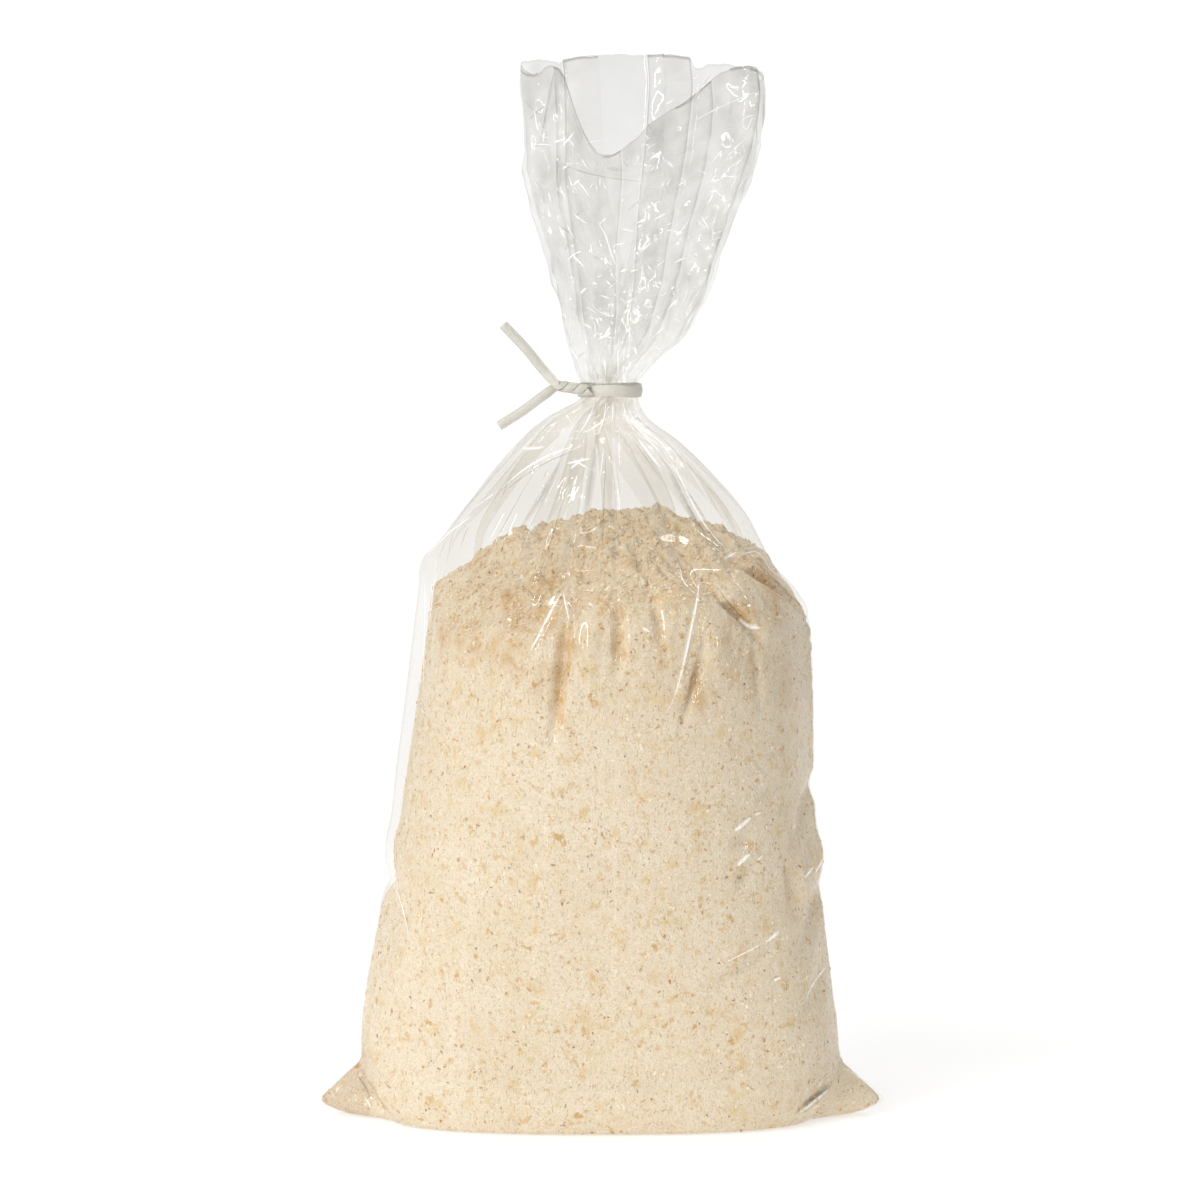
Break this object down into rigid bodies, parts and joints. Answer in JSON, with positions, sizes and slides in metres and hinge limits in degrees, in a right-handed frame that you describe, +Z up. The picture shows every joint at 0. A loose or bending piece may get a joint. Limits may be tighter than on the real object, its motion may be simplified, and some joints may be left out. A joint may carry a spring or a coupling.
{
  "type": "tied bag of breadcrumbs",
  "caption": "Clear film bag filled with pale breadcrumbs, standing on its base, with a gathered neck, a wired twist tie and a flared open mouth.",
  "frame": {"origin": "on the floor, under the middle of the bag's base", "axes": "+Z up along the bag, +X to its right as seen from the front, and the front faces -Y"},
  "size_m": [0.1609, 0.0917, 0.2992],
  "materials": {
    "breadcrumbs": "matte",
    "clear_film": "glossy",
    "twist_tie": "satin"
  },
  "bodies": {
    "root": {"bag": "breadcrumbs", "tie": "twist_tie"}
  },
  "joints": []
}
